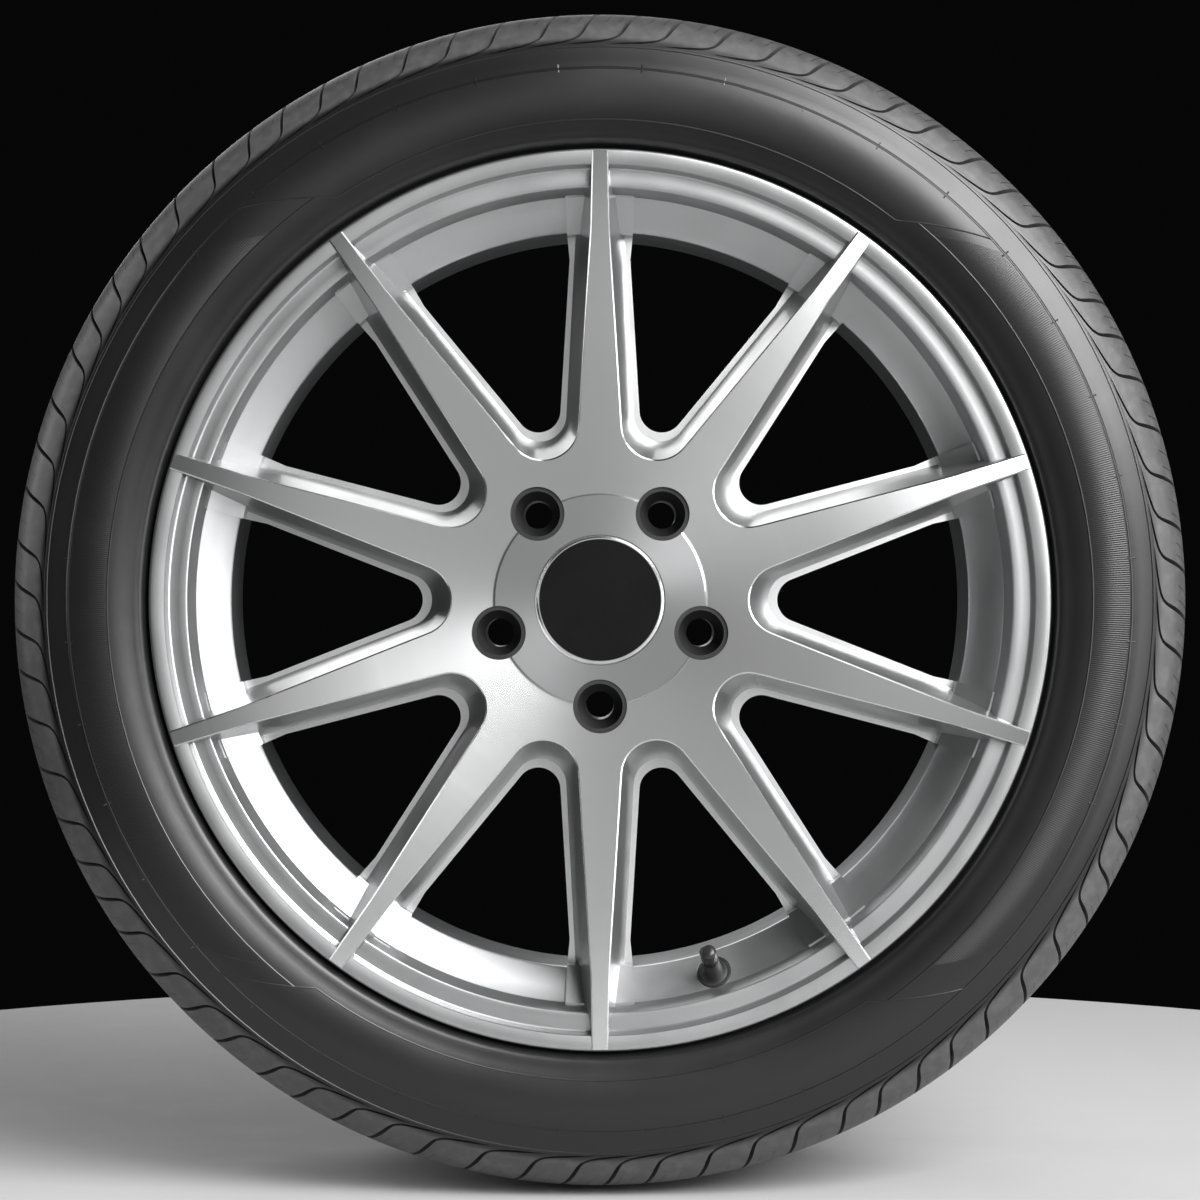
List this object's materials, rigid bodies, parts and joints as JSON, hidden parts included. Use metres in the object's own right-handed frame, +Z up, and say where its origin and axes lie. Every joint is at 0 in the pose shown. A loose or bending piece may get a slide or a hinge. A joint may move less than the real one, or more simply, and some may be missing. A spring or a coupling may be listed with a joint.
{
  "type": "road wheel with tyre",
  "caption": "Spoked light-alloy car wheel with a mounted radial tyre, centre cap, sunk lug seats and a snap-in tyre valve; bolts to a wheel hub.",
  "frame": {"origin": "centre of the wheel, on its axis midway across the rim and tyre", "axes": "+Y along the wheel axis towards the vehicle, outer face towards -Y, +Z up"},
  "size_m": [0.7282, 0.245, 0.7282],
  "materials": {
    "tyre_rubber": "matte moulded rubber",
    "turned_alloy": "diamond-turned face, silver paint in the pockets",
    "cap_bright": "silver-painted edge",
    "cap_black": "satin black",
    "spring_steel": "drawn wire",
    "valve_rubber": "moulded rubber",
    "valve_brass": "turned",
    "seal_rubber": "soft",
    "cap_plastic": "moulded",
    "dark_steel": "dark coated"
  },
  "bodies": {
    "wheel": {"tyre": "tyre_rubber", "wheel_rim": "turned_alloy", "wheel_spokes": "turned_alloy", "wheel_hub": "turned_alloy", "centre_cap": "cap_bright", "cap_disc": "cap_black", "cap_spring_ring": "spring_steel", "valve_body": "valve_rubber", "valve_tube": "valve_brass", "valve_core_plug": "valve_brass", "valve_core_gasket": "seal_rubber", "valve_spring": "spring_steel", "lug_seat_insert_1": "dark_steel", "lug_seat_insert_2": "dark_steel", "lug_seat_insert_3": "dark_steel", "lug_seat_insert_4": "dark_steel", "lug_seat_insert_5": "dark_steel"},
    "valve_pin": {"valve_pin": "valve_brass", "valve_pin_seal": "seal_rubber"},
    "valve_cap_lift": {"valve_cap_seal": "seal_rubber"},
    "valve_cap": {"valve_cap": "cap_plastic"}
  },
  "joints": [
    {"name": "valve_pin_press", "type": "slide", "parent": "wheel", "child": "valve_pin", "axis": [0.1656, 0.8241, -0.5417], "range_m": [0, 0.0012], "stiffness_N_per_m": 1200, "springref_m": -0.002, "deforming": ["valve_spring"]},
    {"name": "valve_cap_rise", "type": "slide", "parent": "wheel", "child": "valve_cap_lift", "axis": [-0.1656, -0.8241, 0.5417], "range_m": [0, 0.00794]},
    {"name": "valve_cap_turn", "type": "hinge", "parent": "valve_cap_lift", "child": "valve_cap", "pos_m": [0.06696, -0.0973, -0.21903], "axis": [-0.1656, -0.8241, 0.5417], "range_deg": [0, 3600]}
  ],
  "couplings": [
    {"joint": "valve_cap_turn", "follows": "valve_cap_rise", "rad_per_m": 7915.8}
  ]
}
